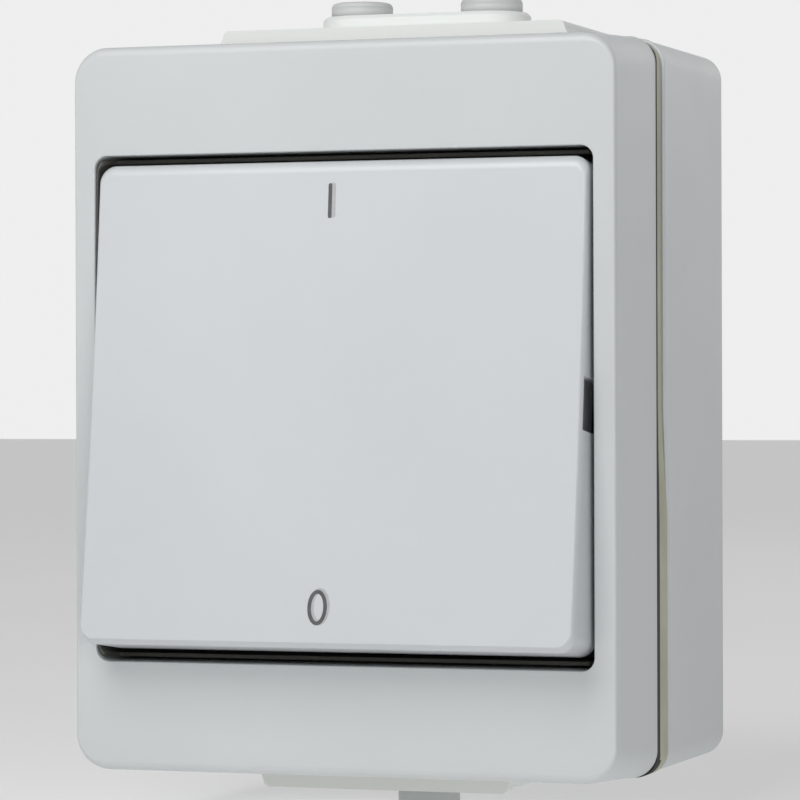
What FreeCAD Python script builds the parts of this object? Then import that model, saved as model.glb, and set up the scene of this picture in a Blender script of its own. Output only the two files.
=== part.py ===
import FreeCAD, Part
import math
import os

# Surface-mounted weatherproof rocker switch for outdoors, two poles, upright box.
# Millimetres. Origin at the centre of the back face, +X right, +Z up, the front looks to -Y.
# Every depth below is a distance from the wall, so a point at depth d lies at y = -d.
# The switch is drawn with the upper half of its rocker pressed in.

V = FreeCAD.Vector
X_AXIS = V(1, 0, 0)
Y_AXIS = V(0, 1, 0)
Z_AXIS = V(0, 0, 1)

# Housing
box_w = 66.0
box_h = 84.1
base_d = 26.5
base_wall = 2.2
base_floor = 2.4
base_corner_r = 3.0
base_inner_r = 2.0
back_edge_c = 0.6
gasket_band = 3.2
gasket_inset = 0.3
gasket_w = 2.1
tongue_inset = 0.95
tongue_w = 0.5
tongue_d = 1.2
groove_clear = 0.05
seam_gap = 0.5
least_r = 0.3

# The seam steps back towards the wall in its lower part, where water drains out
step_start_z = 0.0
step_l = 13.0
rim_drop = 1.5
gasket_drop = 0.6

# Front cover
cover_d = 14.4
cover_taper = 0.55
cover_wall = 2.0
cover_corner_r = 3.2
cover_front_corner_r = 4.0
cover_inner_r = 1.8
cover_front_inner_r = 2.6
cover_edge_r = 1.0
rim_rib_inset = 0.9
rim_rib_w = 1.0

# Window and the deck behind it
window_side = 3.15
window_end = 13.025
window_corner_r = 1.5
collar_wall = 1.3
deck_t = 1.6
lip_drop_gap = 0.56
seal_t = 0.7
seal_clear = 0.12
seal_slot_gap_x = 1.3
seal_slot_gap_z = 4.0
seal_over_x = 0.8
seal_over_z = 2.0
seal_lip_w = 0.8
seal_lip_h = 1.0
seal_rim_w = 0.65
seal_rim_h = 5.6

# Rocker
side_gap = 0.5
end_gap = 1.35
rocker_stand_off = 3.4
rocker_corner_r = 1.9
rocker_inner_r = 0.9
rocker_edge_r = 1.5
rocker_skirt = 9.0
rocker_wall = 1.5
rocker_face_t = 1.7
dish_depth = 0.5
pivot_behind_face = 4.8
half_swing = 7.0
notch_depth = 1.2
notch_h = 5.9
notch_back_wall = 1.4
notch_front_wall = 1.2
rib_t = 1.0
rib_h = 2.4
rib_clear_x = 3.1
rib_clear_z = 7.0
clip_w = 10.0
clip_t = 1.4
hook_reach = 0.8
hook_h = 1.0

# Cradle, pivot and bearing ears
cradle_h = 18.0
cradle_block_d = 6.5
cradle_play = 0.05
cradle_corner_r = 1.0
clip_play = 0.1
pin_clear = 0.06
pin_overhang = 0.5
ear_t = 2.4
ear_play = 0.3
ear_tip_gap = 0.7
ear_rim = 0.84
ear_root_h = 10.0
ear_inner_x = 12.0

# Poles
pole_x = 6.8
lever_room = 6.0
lever_end_gap = 0.8
lever_w = 4.6
lever_t = 1.0
lever_seat_r = 0.8
lever_seat_t = 1.1
lever_swing = 8.0
lever_corner_r = 1.0
ridge_clear = 0.1
tip_inset = 1.6
tip_r = 1.3
tip_t = 0.8
contact_gap = 0.4
strip_t = 1.0
fixed_tip_t = 0.5
fixed_top_l = 4.4

# Plungers
plunger_r = 1.75
plunger_play = 0.08
plunger_gap = 0.35
plunger_in_sleeve = 2.6
sleeve_wall = 0.77
sleeve_l = 8.5
sleeve_bore_depth = 10.0
spring_seat_r = 0.75
spring_seat_l = 1.2
spring_r = 1.3
spring_wire_r = 0.2
spring_turns = 4
spring_end_gap = 0.05
spring_runs = 9
spring_sides = 4

# Mechanism
wiring_room = 18.65
mech_deck_gap = 3.1
mech_corner_r = 1.2
frame_t = 3.0
frame_end_gap = 0.4
clamp_side_gap = 1.0
pocket_side_wall = 1.2
pocket_end_wall = 1.1
pocket_floor_d = 7.0
mech_screw_end = 3.9
mech_screw_side = 3.5
mech_post_r = 3.2
mech_tab_over = 0.2
post_clear = 0.4
slot_side_gap = 0.65
slot_end_gap = 0.83
stop_rib_w = 2.4
stop_rib_t = 1.6
stop_gap = 0.4

# Terminals
clamp_w = 6.8
clamp_d = 8.0
clamp_h = 5.6
clamp_end_gap = 0.3
clamp_chamfer = 0.4
wire_bore_r = 1.7
wire_way_clear = 0.3
terminal_screw_r = 1.25
terminal_head_r = 2.1
terminal_head_t = 1.6
terminal_head_gap = 0.2
terminal_tip_in = 0.1
screw_play = 0.05
slot_cut_w = 0.6
slot_cut_d = 0.8
earth_w = 16.0
earth_h = 6.0
earth_d = 7.0
earth_gap = 5.6
earth_seat_d = 6.0
earth_margin = 1.0
earth_pitch = 8.0

# Screws
cover_screw_side = 6.35
cover_screw_end = 7.525
cover_post_r = 3.3
cover_screw_r = 1.7
cover_hole_clear = 0.2
cover_head_r = 3.0
cover_head_t = 1.8
cover_head_clear = 0.3
cover_screw_grip = 14.0
mech_screw_r = 1.4
frame_hole_clear = 0.15
mech_head_r = 2.7
mech_head_t = 1.7
mech_screw_grip = 11.0
bore_end_gap = 1.0
wall_hole_r = 2.2
wall_hole_side = 8.5
wall_hole_end = 9.05

# Cable entries
plate_back_d = 2.2
plate_setback = 0.1
plate_end_r = 0.8
plate_end_lean = 0.9
plug_back_d = 5.2
plug_setback = 4.7
plug_play = 0.1
top_plate_w = 44.1
top_plate_t = 2.6
top_plug_side = 4.75
top_grommet_x = 8.2
top_nipple_h = 1.75
boss_h = 2.2
boss_wall = 0.75
boss_edge_c = 0.4
bottom_plate_w = 32.2
bottom_plate_x = -1.7
bottom_plate_t = 2.95
bottom_plug_side = 8.1
bottom_pocket_half = 1.0
bottom_nipple_h = 3.6
roof_t = 2.0
grommet_r = 3.7
grommet_neck_r = 2.95
grommet_flange_r = 3.9
grommet_flange_t = 1.2
grommet_bore_r = 2.3
grommet_membrane = 0.8
grommet_edge_c = 0.6
grommet_play = 0.05

# How far a cutter runs past the face it opens, and how far joined forms run into each other
past = 1.0
bite = 0.1

# Outline and seam
half_h = box_h / 2
window_w = box_w - 2 * window_side
window_h = box_h - 2 * window_end
rocker_w = window_w - 2 * side_gap
rocker_h = window_h - 2 * end_gap
gasket_front_d = base_d + gasket_band
cover_back_d = gasket_front_d + seam_gap
front_d = cover_back_d + cover_d

# Rocker and cradle, from the face back
face_d = front_d + rocker_stand_off
inner_face_d = face_d - rocker_face_t
lip_d = face_d - rocker_skirt
pivot_d = face_d - pivot_behind_face
notch_front_d = face_d - dish_depth - notch_front_wall
swing_sin = math.sin(math.radians(half_swing))
swing_cos = math.cos(math.radians(half_swing))
lowest_lip_d = pivot_d - (pivot_d - lip_d) * swing_cos - rocker_h / 2 * swing_sin
cradle_front_d = inner_face_d - cradle_play
cradle_back_d = cradle_front_d - cradle_block_d
cradle_half_w = ear_inner_x - ear_play
ear_tip_r = inner_face_d - pivot_d - ear_tip_gap
pin_r = ear_tip_r - ear_rim - pin_clear
pin_end_x = ear_inner_x + ear_t + pin_overhang
rib_x = pin_end_x + rib_clear_x
rib_z = cradle_h / 2 + rib_clear_z

# Deck and seal, just clear of the rocker's lowest edge
seal_front_d = lowest_lip_d - lip_drop_gap
deck_front_d = seal_front_d - seal_t
deck_back_d = deck_front_d - deck_t
seal_slot_w = 2 * (pin_end_x + seal_slot_gap_x)
seal_slot_h = cradle_h + 2 * seal_slot_gap_z
deck_slot_w = seal_slot_w + 2 * seal_over_x
deck_slot_h = seal_slot_h + 2 * seal_over_z
cover_screw_x = window_w / 2 - cover_screw_side
cover_screw_z = window_h / 2 - cover_screw_end

# Mechanism, from the deck back
frame_front_d = deck_back_d - mech_deck_gap - mech_head_t
mech_front_d = frame_front_d - frame_t
pocket_w = clamp_w + 2 * clamp_side_gap
notch_x = pole_x + pocket_w / 2 + pocket_side_wall
mech_screw_x = notch_x + post_clear + mech_post_r
mech_w = 2 * (mech_screw_x + mech_screw_side)
mech_h = box_h - 2 * wiring_room
mech_screw_z = mech_h / 2 - mech_screw_end
notch_z = mech_screw_z - mech_post_r - post_clear
frame_h = 2 * (notch_z - frame_end_gap)
mech_tab_r = mech_post_r + mech_tab_over
clamp_z1 = mech_h / 2 - pocket_end_wall - clamp_end_gap
clamp_z0 = clamp_z1 - clamp_h
clamp_front_d = pocket_floor_d + strip_t + clamp_d
wire_d = pocket_floor_d + strip_t + clamp_d / 2
earth_z = -(mech_h / 2 + earth_gap + earth_h / 2)

# Levers and plungers
lever_axis_d = mech_front_d - lever_room
lever_l = 2 * (clamp_z0 - lever_end_gap)
lever_face = lever_seat_r + lever_seat_t
contact_z = lever_l / 2 - tip_inset
sleeve_bore_r = plunger_r + plunger_play
sleeve_r = sleeve_bore_r + sleeve_wall
sleeve_end_d = cradle_back_d - sleeve_l
sleeve_top_d = sleeve_end_d + sleeve_bore_depth
plunger_tip_d = lever_axis_d + lever_face + plunger_gap
plunger_top_d = sleeve_end_d + plunger_in_sleeve
slot_half_w = plunger_r + slot_side_gap
slot_half_h = (pivot_d - mech_front_d) * swing_sin + plunger_r + slot_end_gap

# Cable entries
plate_front_d = base_d - plate_setback
plug_front_d = base_d - plug_setback
entry_axis_d = (plug_back_d + plug_front_d) / 2
top_plug_w = top_plate_w - 2 * top_plug_side
bottom_plug_w = bottom_plate_w - 2 * bottom_plug_side
boss_r = grommet_flange_r + grommet_play + boss_wall
top_roof_z = half_h + top_plate_t + boss_h
bottom_roof_z = half_h + bottom_plate_t


def box(x0, x1, d0, d1, z0, z1):
    """Block between two X, two depths and two heights."""
    return Part.makeBox(x1 - x0, d1 - d0, z1 - z0, V(x0, -d1, z0))


def rod_y(x, z, r, d0, d1):
    """Round rod along the depth, from depth d0 out to depth d1."""
    return Part.makeCylinder(r, d1 - d0, V(x, -d0, z), -Y_AXIS)


def rod_x(d, z, r, x0, x1):
    return Part.makeCylinder(r, x1 - x0, V(x0, -d, z), X_AXIS)


def rod_z(x, d, r, z0, z1):
    return Part.makeCylinder(r, z1 - z0, V(x, -d, z0), Z_AXIS)


def rounded_wire(w, h, r, d):
    """Upright rectangle with round corners at one depth."""
    a, b = w / 2, h / 2
    k = r * math.sqrt(0.5)
    corners = []
    for sx, sz in ((1, 1), (-1, 1), (-1, -1), (1, -1)):
        centre = V(sx * (a - r), -d, sz * (b - r))
        start = centre + (V(sx * r, 0, 0) if sx == sz else V(0, 0, sz * r))
        middle = centre + V(sx * k, 0, sz * k)
        end = centre + (V(0, 0, sz * r) if sx == sz else V(sx * r, 0, 0))
        corners.append((start, middle, end))
    edges = []
    for i, (start, middle, end) in enumerate(corners):
        edges.append(Part.Arc(start, middle, end).toShape())
        following = corners[(i + 1) % 4][0]
        edges.append(Part.LineSegment(end, following).toShape())
    return Part.Wire(edges)


def rounded_block(w, h, r, d0, d1):
    face = Part.Face(rounded_wire(w, h, r, d0))
    return face.extrude(V(0, -(d1 - d0), 0))


def ring(inset, width, r, d0, d1):
    """Frame that follows the outline of the box, a given inset from it."""
    outer = rounded_block(box_w - 2 * inset, box_h - 2 * inset, max(r - inset, least_r), d0, d1)
    w = box_w - 2 * (inset + width)
    h = box_h - 2 * (inset + width)
    inner = rounded_block(w, h, max(r - inset - width, least_r), d0, d1)
    return outer.cut(inner)


def stadium(half_l, r, z0, z1):
    """Upright slab with half-round ends, over the cable entry axis."""
    body = box(-half_l, half_l, entry_axis_d - r, entry_axis_d + r, z0, z1)
    for x in (-half_l, half_l):
        body = body.fuse(rod_z(x, entry_axis_d, r, z0, z1))
    return body.removeSplitter()


def edges_at_depth(shape, d):
    found = []
    for edge in shape.Edges:
        if all(abs(v.Y + d) < 1e-6 for v in edge.Vertexes):
            found.append(edge)
    return found


def edges_along_depth(shape):
    found = []
    for edge in shape.Edges:
        a, b = edge.Vertexes[0], edge.Vertexes[-1]
        if abs(a.X - b.X) < 1e-6 and abs(a.Z - b.Z) < 1e-6:
            found.append(edge)
    return found


def edges_at_height(shape, z):
    found = []
    for edge in shape.Edges:
        if all(abs(v.Z - z) < 1e-6 for v in edge.Vertexes):
            found.append(edge)
    return found


def side_slab(outline):
    """Slab across the whole width, from an outline of (depth, height) points."""
    half = box_w / 2 + past
    points = [V(-half, -d, z) for d, z in outline]
    return Part.Face(Part.makePolygon(points + points[:1])).extrude(V(2 * half, 0, 0))


def ahead_of_step(d, drop):
    """Space in front of a seam face that drops back in its lower part."""
    end_z = step_start_z - step_l
    low = -half_h - past
    return side_slab([(d, step_start_z), (d + past, step_start_z), (d + past, low), (d - drop, low),
                      (d - drop, end_z)])


def behind_step(d, drop):
    """Space behind that face, as far back as its lower part."""
    end_z = step_start_z - step_l
    high = half_h + past
    back = d - drop - past
    return side_slab([(d, high), (d, step_start_z), (d - drop, end_z), (d - drop, -high),
                      (back, -high), (back, high)])


def pressed(shape):
    """Swings a rocker piece from level to the drawn position about the pivot."""
    turned = shape.copy()
    turned.rotate(V(0, -pivot_d, 0), X_AXIS, -half_swing)
    return turned


def tilted_lever(shape):
    """Swings a lever piece from level to the closed position about its seat."""
    turned = shape.copy()
    turned.rotate(V(0, -lever_axis_d, 0), X_AXIS, lever_swing)
    return turned


def mirror_x(shape):
    return shape.mirror(V(0, 0, 0), X_AXIS)


def mirror_z(shape):
    return shape.mirror(V(0, 0, 0), Z_AXIS)


def slotted_screw(x, z, shank_r, shank_d0, seat_d, head_r, head_t):
    """Screw with its head towards the front: shank below the seat, slotted head above it."""
    shape = rod_y(x, z, shank_r, shank_d0, seat_d)
    head = rod_y(x, z, head_r, seat_d, seat_d + head_t)
    top = seat_d + head_t
    half_cut = slot_cut_w / 2
    cut = box(x - head_r - past, x + head_r + past, top - slot_cut_d, top + past,
              z - half_cut, z + half_cut)
    return shape.fuse(head.cut(cut)).removeSplitter()


# Base box: floor against the wall, walls, screw posts, wall holes and the two cable openings

def base_box():
    outer = rounded_block(box_w, box_h, base_corner_r, 0, base_d)
    outer = outer.makeChamfer(back_edge_c, edges_at_depth(outer, 0))
    inner_w = box_w - 2 * base_wall
    inner_h = box_h - 2 * base_wall
    body = outer.cut(rounded_block(inner_w, inner_h, base_inner_r, base_floor, base_d + past))
    groove = ring(tongue_inset - groove_clear, tongue_w + 2 * groove_clear, base_corner_r,
                  base_d - rim_drop - tongue_d - groove_clear, base_d + past)
    body = body.cut(groove).cut(ahead_of_step(base_d, rim_drop))
    for s in (-1, 1):
        x, z = s * cover_screw_x, -s * cover_screw_z
        post = rod_y(x, z, cover_post_r, base_floor, deck_back_d)
        bore = rod_y(x, z, cover_screw_r + screw_play,
                     deck_back_d - cover_screw_grip - bore_end_gap, deck_back_d + past)
        body = body.fuse(post).cut(bore)
        x, z = s * mech_screw_x, s * mech_screw_z
        post = rod_y(x, z, mech_post_r, base_floor, mech_front_d)
        bore = rod_y(x, z, mech_screw_r + screw_play,
                     mech_front_d - mech_screw_grip - bore_end_gap, mech_front_d + past)
        body = body.fuse(post).cut(bore)
    seat_half_w = earth_w / 2 + earth_margin
    seat_half_h = earth_h / 2 + earth_margin
    earth_seat = box(-seat_half_w, seat_half_w, base_floor, earth_seat_d,
                     earth_z - seat_half_h, earth_z + seat_half_h)
    body = body.fuse(earth_seat)
    for sx in (-1, 1):
        for sz in (-1, 1):
            x = sx * (box_w / 2 - wall_hole_side)
            z = sz * (half_h - wall_hole_end)
            body = body.cut(rod_y(x, z, wall_hole_r, -past, base_floor + past))
    top_cut = box(-top_plug_w / 2, top_plug_w / 2, plug_back_d, plug_front_d,
                  half_h - base_wall - past, half_h + past)
    bottom_cut = box(-bottom_plug_w / 2, bottom_plug_w / 2, plug_back_d, plug_front_d,
                     -half_h - past, -half_h + base_wall + past)
    return body.cut(top_cut).cut(bottom_cut).removeSplitter()


def housing_gasket():
    """Band between the rims of base and cover, with a tongue in the base's groove."""
    low_d = base_d - rim_drop
    band = ring(gasket_inset, gasket_w, base_corner_r, low_d, gasket_front_d)
    band = band.cut(behind_step(base_d, rim_drop)).cut(ahead_of_step(gasket_front_d, gasket_drop))
    tongue = ring(tongue_inset, tongue_w, base_corner_r, low_d - tongue_d, base_d + bite)
    return band.fuse(tongue).removeSplitter()


# Front cover: tapered shell, window with its collar, and the deck that carries the seal

def cover_loft(inset, corner_r, front_corner_r, d0, d1):
    """Tapered block of the cover's outline, a given inset from its outside."""
    wires = []
    for d in (d0, d1):
        share = (d - cover_back_d) / cover_d
        cut_back = 2 * (inset + cover_taper * share)
        r = corner_r + (front_corner_r - corner_r) * share
        wires.append(rounded_wire(box_w - cut_back, box_h - cut_back, r, d))
    return Part.makeLoft(wires, True, True)


def front_cover():
    outer = cover_loft(0, cover_corner_r, cover_front_corner_r, cover_back_d, front_d)
    outer = outer.makeFillet(cover_edge_r, edges_at_depth(outer, front_d))
    inner = cover_loft(cover_wall, cover_inner_r, cover_front_inner_r,
                       cover_back_d - past, front_d - cover_wall)
    shell = outer.cut(inner)
    collar = rounded_block(window_w + 2 * collar_wall, window_h + 2 * collar_wall,
                           window_corner_r + collar_wall, deck_back_d, front_d - cover_wall / 2)
    rib = ring(rim_rib_inset, rim_rib_w, cover_corner_r, gasket_front_d - gasket_drop,
               cover_back_d + cover_wall / 2)
    rib = rib.cut(behind_step(gasket_front_d, gasket_drop))
    body = shell.fuse(collar).fuse(rib)
    window = rounded_block(window_w, window_h, window_corner_r, deck_front_d, front_d + past)
    body = body.cut(window)
    slot = rounded_block(deck_slot_w, deck_slot_h, window_corner_r, deck_back_d - past, front_d)
    body = body.cut(slot)
    for s in (-1, 1):
        hole = rod_y(s * cover_screw_x, -s * cover_screw_z, cover_screw_r + cover_hole_clear,
                     deck_back_d - past, deck_front_d + past)
        body = body.cut(hole)
    return body.removeSplitter()


def window_seal():
    """Soft membrane on the deck, with a lip round its slot and a rim along top and bottom."""
    w = window_w - 2 * seal_clear
    h = window_h - 2 * seal_clear
    sheet = rounded_block(w, h, window_corner_r, deck_front_d, seal_front_d)
    lip = rounded_block(seal_slot_w + 2 * seal_lip_w, seal_slot_h + 2 * seal_lip_w,
                        window_corner_r + seal_lip_w, deck_front_d, seal_front_d + seal_lip_h)
    body = sheet.fuse(lip)
    rim_inner_r = max(window_corner_r - seal_rim_w, least_r)
    rim_front_d = seal_front_d + seal_rim_h
    rim = rounded_block(w, h, window_corner_r, deck_front_d, rim_front_d)
    rim = rim.cut(rounded_block(w - 2 * seal_rim_w, h - 2 * seal_rim_w, rim_inner_r,
                                deck_front_d - past, rim_front_d + past))
    side_half = h / 2 - window_corner_r
    rim = rim.cut(box(-w, w, deck_front_d - past, rim_front_d + past, -side_half, side_half))
    body = body.fuse(rim)
    slot = rounded_block(seal_slot_w, seal_slot_h, window_corner_r, deck_front_d - past,
                         seal_front_d + seal_lip_h + past)
    body = body.cut(slot)
    for s in (-1, 1):
        hole = rod_y(s * cover_screw_x, -s * cover_screw_z, cover_head_r + cover_head_clear,
                     deck_front_d - past, seal_front_d + past)
        body = body.cut(hole)
    return body.removeSplitter()


# Rocker: dished cap with rounded edges, skirt, pry notch, ribs and two clips

def rocker():
    cap = rounded_block(rocker_w, rocker_h, rocker_corner_r, lip_d, face_d)
    half_chord = rocker_h / 2
    dish_r = (half_chord ** 2 + dish_depth ** 2) / (2 * dish_depth)
    dish = rod_x(face_d - dish_depth + dish_r, 0, dish_r, -rocker_w, rocker_w)
    cap = cap.cut(dish)
    front_edges = []
    rim_d = face_d - dish_depth - bite
    for edge in cap.Edges:
        if all(v.Y < -rim_d for v in edge.Vertexes):
            front_edges.append(edge)
    cap = cap.makeFillet(rocker_edge_r, front_edges)
    hollow = rounded_block(rocker_w - 2 * rocker_wall, rocker_h - 2 * rocker_wall,
                           rocker_inner_r, lip_d - past, inner_face_d)
    body = cap.cut(hollow)
    wall_x = rocker_w / 2 - rocker_wall
    pad = box(rocker_w / 2 - notch_depth - notch_back_wall, wall_x + bite, lip_d,
              inner_face_d + bite, -notch_h / 2 - notch_back_wall, notch_h / 2 + notch_back_wall)
    notch = box(rocker_w / 2 - notch_depth, rocker_w / 2 + past, lip_d - past, notch_front_d,
                -notch_h / 2, notch_h / 2)
    body = body.fuse(pad).cut(notch)
    inner_w = rocker_w / 2 - rocker_wall + bite
    inner_h = rocker_h / 2 - rocker_wall + bite
    for s in (-1, 1):
        cross = box(-inner_w, inner_w, inner_face_d - rib_h, inner_face_d + bite,
                    s * rib_z - rib_t / 2, s * rib_z + rib_t / 2)
        upright = box(s * rib_x - rib_t / 2, s * rib_x + rib_t / 2, inner_face_d - rib_h,
                      inner_face_d + bite, -inner_h, inner_h)
        body = body.fuse(cross).fuse(upright)
    clip_in = cradle_h / 2 + clip_play
    hook_d = cradle_back_d - clip_play
    for s in (-1, 1):
        z0, z1 = sorted((s * clip_in, s * (clip_in + clip_t)))
        leg = box(-clip_w / 2, clip_w / 2, hook_d - hook_h, inner_face_d + bite, z0, z1)
        z0, z1 = sorted((s * (clip_in - hook_reach), s * (clip_in + clip_t)))
        hook = box(-clip_w / 2, clip_w / 2, hook_d - hook_h, hook_d, z0, z1)
        body = body.fuse(leg).fuse(hook)
    return pressed(body.removeSplitter())


def rocker_cradle():
    """Block with two pivot pins and one sleeve for each plunger."""
    body = box(-cradle_half_w, cradle_half_w, cradle_back_d, cradle_front_d,
               -cradle_h / 2, cradle_h / 2)
    body = body.makeFillet(cradle_corner_r, edges_along_depth(body))
    body = body.fuse(rod_x(pivot_d, 0, pin_r, -pin_end_x, pin_end_x))
    for s in (-1, 1):
        x = s * pole_x
        body = body.fuse(rod_y(x, 0, sleeve_r, sleeve_end_d, cradle_back_d + bite))
        body = body.cut(rod_y(x, 0, sleeve_bore_r, sleeve_end_d - past, sleeve_top_d))
    return pressed(body.removeSplitter())


def plunger(x):
    stem = rod_y(x, 0, plunger_r, plunger_tip_d + plunger_r, plunger_top_d)
    nose = Part.makeSphere(plunger_r, V(x, -(plunger_tip_d + plunger_r), 0))
    seat = rod_y(x, 0, spring_seat_r, plunger_top_d, plunger_top_d + spring_seat_l)
    return pressed(stem.fuse(nose).fuse(seat).removeSplitter())


def plunger_spring(x):
    """Coil round the plunger's spring seat; its wire is a fine chain of short straight runs."""
    length = sleeve_top_d - plunger_top_d - 2 * spring_wire_r - 2 * spring_end_gap
    count = spring_turns * spring_runs
    points = []
    for i in range(count + 1):
        a = 2 * math.pi * i / spring_runs
        points.append(V(spring_r * math.cos(a), -length * i / count, spring_r * math.sin(a)))
    along = (points[1] - points[0]).normalize()
    across = along.cross(Y_AXIS).normalize()
    over = along.cross(across)
    rim = []
    for i in range(spring_sides + 1):
        a = 2 * math.pi * i / spring_sides
        rim.append(points[0] + (across * math.cos(a) + over * math.sin(a)) * spring_wire_r)
    coil = Part.makePolygon(points).makePipeShell([Part.makePolygon(rim)], True, False, 1)
    coil.translate(V(x, -(plunger_top_d + spring_wire_r + spring_end_gap), 0))
    return pressed(coil)


# Contacts of one pole, drawn for the right-hand pole and mirrored for the other

def contact_lever():
    """See-saw strip with a half-round seat folded under its middle."""
    front = lever_axis_d + lever_face
    z_end = lever_l / 2
    strip = box(pole_x - lever_w / 2, pole_x + lever_w / 2, front - lever_t, front, -z_end, z_end)
    strip = strip.makeFillet(lever_corner_r, edges_along_depth(strip))
    x0, x1 = pole_x - lever_w / 2, pole_x + lever_w / 2
    seat = rod_x(lever_axis_d, 0, lever_face, x0, x1)
    seat = seat.common(box(x0, x1, lever_axis_d, front, -lever_face, lever_face))
    groove = rod_x(lever_axis_d, 0, lever_seat_r + ridge_clear, x0 - past, x1 + past)
    return tilted_lever(strip.fuse(seat).cut(groove).removeSplitter())


def lever_tip():
    back = lever_axis_d + lever_face - lever_t
    tip = rod_y(pole_x, -contact_z, tip_r, back - tip_t, back)
    return tilted_lever(tip)


def common_contact():
    """Ridge under the lever's seat, on a strip that runs up to the terminal."""
    floor = pocket_floor_d
    x0, x1 = pole_x - lever_w / 2, pole_x + lever_w / 2
    ridge = box(x0, x1, floor, lever_axis_d, -lever_seat_r, lever_seat_r)
    ridge = ridge.fuse(rod_x(lever_axis_d, 0, lever_seat_r, x0, x1))
    strip = box(x0, x1, floor, floor + strip_t, -lever_seat_r, clamp_z1)
    return ridge.fuse(strip).removeSplitter()


def closed_tip_depth():
    """Depth of the moving tip's face at its centre when the lever is closed."""
    a = math.radians(lever_swing)
    reach = lever_face - lever_t - tip_t
    return lever_axis_d + reach * math.cos(a) - contact_z * math.sin(a)


def fixed_contact():
    """Stepped strip from the lower terminal up to the contact."""
    floor = pocket_floor_d
    x0, x1 = pole_x - lever_w / 2, pole_x + lever_w / 2
    top = closed_tip_depth() - contact_gap - fixed_tip_t
    riser_z = -contact_z + fixed_top_l / 2
    foot = box(x0, x1, floor, floor + strip_t, -clamp_z1, riser_z)
    riser = box(x0, x1, floor, top, riser_z - strip_t, riser_z)
    shelf = box(x0, x1, top - strip_t, top, riser_z - fixed_top_l, riser_z)
    return foot.fuse(riser).fuse(shelf).removeSplitter()


def fixed_contact_tip():
    top = closed_tip_depth() - contact_gap
    a = math.radians(lever_swing)
    reach = lever_face - lever_t - tip_t
    z = -contact_z * math.cos(a) - reach * math.sin(a)
    return rod_y(pole_x, z, tip_r, top - fixed_tip_t, top)


def terminal_clamp():
    """Brass block on the strip, with a wire bore and a screw hole."""
    x0, x1 = pole_x - clamp_w / 2, pole_x + clamp_w / 2
    body = box(x0, x1, pocket_floor_d + strip_t, clamp_front_d, clamp_z0, clamp_z1)
    body = body.makeChamfer(clamp_chamfer, edges_at_depth(body, clamp_front_d))
    body = body.cut(rod_z(pole_x, wire_d, wire_bore_r, clamp_z0 - past, clamp_z1 + past))
    z = (clamp_z0 + clamp_z1) / 2
    hole = rod_y(pole_x, z, terminal_screw_r + screw_play, wire_d, clamp_front_d + past)
    return body.cut(hole)


def terminal_screw():
    z = (clamp_z0 + clamp_z1) / 2
    seat = clamp_front_d + terminal_head_gap
    tip = wire_d + wire_bore_r - terminal_tip_in
    return slotted_screw(pole_x, z, terminal_screw_r, tip, seat, terminal_head_r, terminal_head_t)


# Mechanism housing and frame

def mechanism_housing():
    """Block with a chamber for each pole, cut back at the corners for the base's posts."""
    half_w = mech_w / 2
    half = mech_h / 2
    body = box(-half_w, half_w, base_floor, mech_front_d, -half, half)
    body = body.makeFillet(mech_corner_r, edges_along_depth(body))
    for s in (-1, 1):
        x0, x1 = sorted((s * (half_w + past), s * notch_x))
        z0, z1 = sorted((s * (half + past), s * notch_z))
        body = body.cut(box(x0, x1, base_floor - past, mech_front_d + past, z0, z1))
        body = body.cut(rod_y(s * cover_screw_x, -s * cover_screw_z, cover_post_r + post_clear,
                              base_floor - past, mech_front_d + past))
    pocket_z = half - pocket_end_wall
    stop_z = lever_l / 2 - stop_rib_t
    a = math.radians(lever_swing)
    stop_d = lever_axis_d + (lever_face - lever_t) * math.cos(a)
    stop_d = stop_d - lever_l / 2 * math.sin(a) - stop_gap
    for s in (-1, 1):
        x = s * pole_x
        body = body.cut(box(x - pocket_w / 2, x + pocket_w / 2, pocket_floor_d,
                            mech_front_d + past, -pocket_z, pocket_z))
        body = body.cut(rod_z(x, wire_d, wire_bore_r + wire_way_clear, -half - past, half + past))
        for side in (-1, 1):
            inner = x + side * pocket_w / 2
            x0, x1 = sorted((inner + side * bite, inner - side * stop_rib_w / 2))
            body = body.fuse(box(x0, x1, pocket_floor_d - bite, stop_d,
                                 stop_z - stop_rib_t, stop_z))
    return body.removeSplitter()


def mechanism_frame():
    """Front plate of the mechanism, with slots for the plungers and two bearing ears."""
    body = box(-mech_w / 2, mech_w / 2, mech_front_d, frame_front_d, -frame_h / 2, frame_h / 2)
    for s in (-1, 1):
        x, z = s * mech_screw_x, s * mech_screw_z
        tab = rod_y(x, z, mech_tab_r, mech_front_d, frame_front_d)
        z0, z1 = sorted((z, s * (frame_h / 2 - bite)))
        bridge = box(x - mech_tab_r, x + mech_tab_r, mech_front_d, frame_front_d, z0, z1)
        body = body.fuse(tab).fuse(bridge)
        body = body.cut(rod_y(x, z, mech_screw_r + frame_hole_clear, mech_front_d - past,
                              frame_front_d + past))
    for s in (-1, 1):
        x = s * pole_x
        body = body.cut(box(x - slot_half_w, x + slot_half_w, mech_front_d - past,
                            frame_front_d + past, -slot_half_h, slot_half_h))
        x0, x1 = sorted((s * ear_inner_x, s * (ear_inner_x + ear_t)))
        half = ear_root_h / 2
        outline = [V(x0, -frame_front_d + bite, -half), V(x0, -frame_front_d + bite, half),
                   V(x0, -pivot_d, ear_tip_r), V(x0, -pivot_d, -ear_tip_r)]
        ear = Part.Face(Part.makePolygon(outline + outline[:1])).extrude(V(x1 - x0, 0, 0))
        ear = ear.fuse(rod_x(pivot_d, 0, ear_tip_r, x0, x1))
        ear = ear.cut(rod_x(pivot_d, 0, pin_r + pin_clear, x0 - past, x1 + past))
        body = body.fuse(ear)
    return body.removeSplitter()


# Cable entries

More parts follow.
